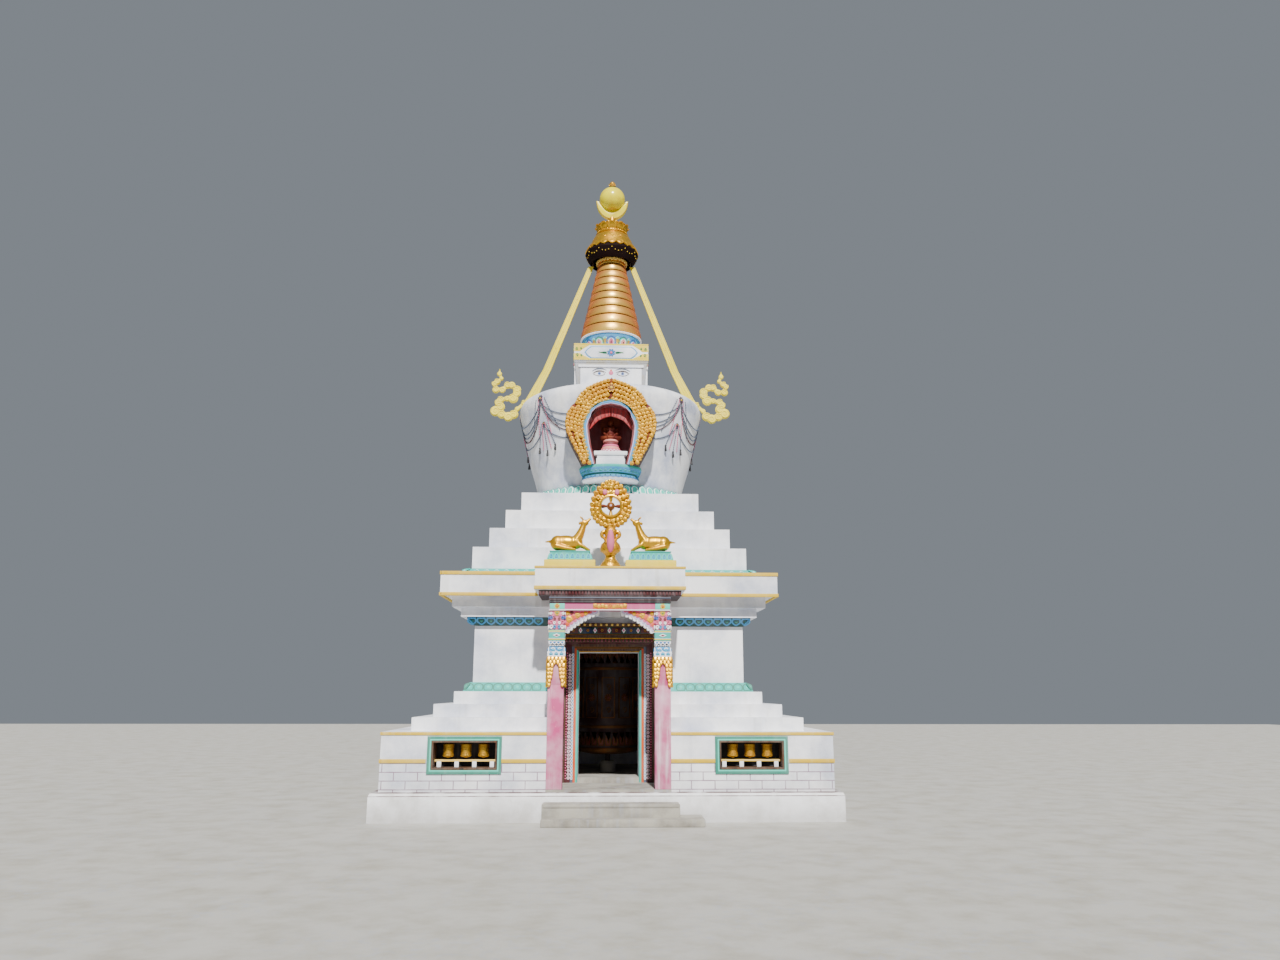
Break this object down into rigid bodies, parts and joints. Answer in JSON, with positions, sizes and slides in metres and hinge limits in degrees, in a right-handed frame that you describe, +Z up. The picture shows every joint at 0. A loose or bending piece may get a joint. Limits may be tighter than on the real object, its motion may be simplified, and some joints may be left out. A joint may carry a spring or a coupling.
{
  "type": "walk-in stupa",
  "caption": "Whitewashed stupa on a stepped square base with a porch, a chamber with a great prayer wheel, wheel niches, a dome with an arched niche, a ringed spire and streamers",
  "frame": {"origin": "on the stupa's axis at ground level, in the middle of the square base", "axes": "+Z up, the entrance porch faces -Y, +X to the right of a person facing the entrance"},
  "size_m": [7, 7.52, 12.27],
  "materials": {
    "whitewash": "limewashed plaster, weathered",
    "concrete": "bare cast concrete, worn",
    "cement": "trowelled cement",
    "gilding": "gilded sheet metal",
    "wheel_brass": "embossed brass, rubbed",
    "spire_copper": "gilded copper, dulled",
    "lotus_aqua": "painted plaster petals",
    "teal_paint": "painted wood",
    "pillar_paint": "painted wood, pink and gold",
    "maroon_paint": "painted wood, maroon and gold",
    "streamer_cream": "cream painted sheet metal",
    "door_timber": "carved and painted wood",
    "bracket_carving": "carved wood, gold and white paint",
    "drum_red": "painted drum with gilded bands"
  },
  "bodies": {
    "structure": {"base_plinth": "whitewash", "entrance_steps": "concrete", "floor": "cement", "plinth_front_left": "whitewash", "plinth_front_right": "whitewash", "plinth_left": "whitewash", "plinth_right": "whitewash", "plinth_back": "whitewash", "wheel_niche_left": "teal_paint", "wheel_niche_right": "teal_paint", "niche_wheels_left": "wheel_brass", "niche_wheels_right": "wheel_brass", "niche_wheels_back": "wheel_brass", "cella_front_left": "whitewash", "cella_front_right": "whitewash", "cella_over_door": "whitewash", "cella_rear": "whitewash", "lotus_course_lower": "lotus_aqua", "lotus_course_upper": "lotus_aqua", "lotus_course_roof": "lotus_aqua", "cornice_course_lower": "whitewash", "cornice_course_upper": "whitewash", "cornice_fascia": "whitewash", "terrace_1": "whitewash", "terrace_2": "whitewash", "terrace_3": "whitewash", "terrace_4": "whitewash", "door_frame": "door_timber", "door_head_panel": "door_timber", "pillar_left": "pillar_paint", "pillar_right": "pillar_paint", "porch_beam": "pillar_paint", "arch_bracket": "bracket_carving", "porch_frieze": "maroon_paint", "porch_roof": "whitewash", "gilded_wheel": "gilding", "deer_left": "gilding", "deer_right": "gilding", "dome": "whitewash", "dome_niche_frame": "gilding", "dome_niche_shelf": "teal_paint", "niche_pedestal": "whitewash", "seated_figure": "spire_copper", "harmika_box": "whitewash", "harmika_slab": "whitewash", "spire": "spire_copper", "umbrella_fringe": "spire_copper", "umbrella": "gilding", "leaf_crown": "gilding", "moon_and_sun": "gilding", "streamer_left": "streamer_cream", "streamer_right": "streamer_cream"},
    "great_wheel_body": {"great_prayer_wheel": "drum_red"},
    "wheel_left_1_body": {"prayer_wheel_left_1": "wheel_brass"},
    "wheel_left_2_body": {"prayer_wheel_left_2": "wheel_brass"},
    "wheel_left_3_body": {"prayer_wheel_left_3": "wheel_brass"},
    "wheel_right_1_body": {"prayer_wheel_right_1": "wheel_brass"},
    "wheel_right_2_body": {"prayer_wheel_right_2": "wheel_brass"},
    "wheel_right_3_body": {"prayer_wheel_right_3": "wheel_brass"}
  },
  "joints": [
    {"name": "great_wheel_spin", "type": "hinge", "parent": "structure", "child": "great_wheel_body", "pos_m": [0, 0, 1.75], "axis": [0, 0, 1], "continuous": true},
    {"name": "prayer_wheel_left_1_spin", "type": "hinge", "parent": "structure", "child": "wheel_left_1_body", "pos_m": [-2.405, -3.2, 1], "axis": [0, 0, 1], "continuous": true},
    {"name": "prayer_wheel_left_2_spin", "type": "hinge", "parent": "structure", "child": "wheel_left_2_body", "pos_m": [-2.142, -3.2, 1], "axis": [0, 0, 1], "continuous": true},
    {"name": "prayer_wheel_left_3_spin", "type": "hinge", "parent": "structure", "child": "wheel_left_3_body", "pos_m": [-1.879, -3.2, 1], "axis": [0, 0, 1], "continuous": true},
    {"name": "prayer_wheel_right_1_spin", "type": "hinge", "parent": "structure", "child": "wheel_right_1_body", "pos_m": [1.879, -3.2, 1], "axis": [0, 0, 1], "continuous": true},
    {"name": "prayer_wheel_right_2_spin", "type": "hinge", "parent": "structure", "child": "wheel_right_2_body", "pos_m": [2.142, -3.2, 1], "axis": [0, 0, 1], "continuous": true},
    {"name": "prayer_wheel_right_3_spin", "type": "hinge", "parent": "structure", "child": "wheel_right_3_body", "pos_m": [2.405, -3.2, 1], "axis": [0, 0, 1], "continuous": true}
  ]
}
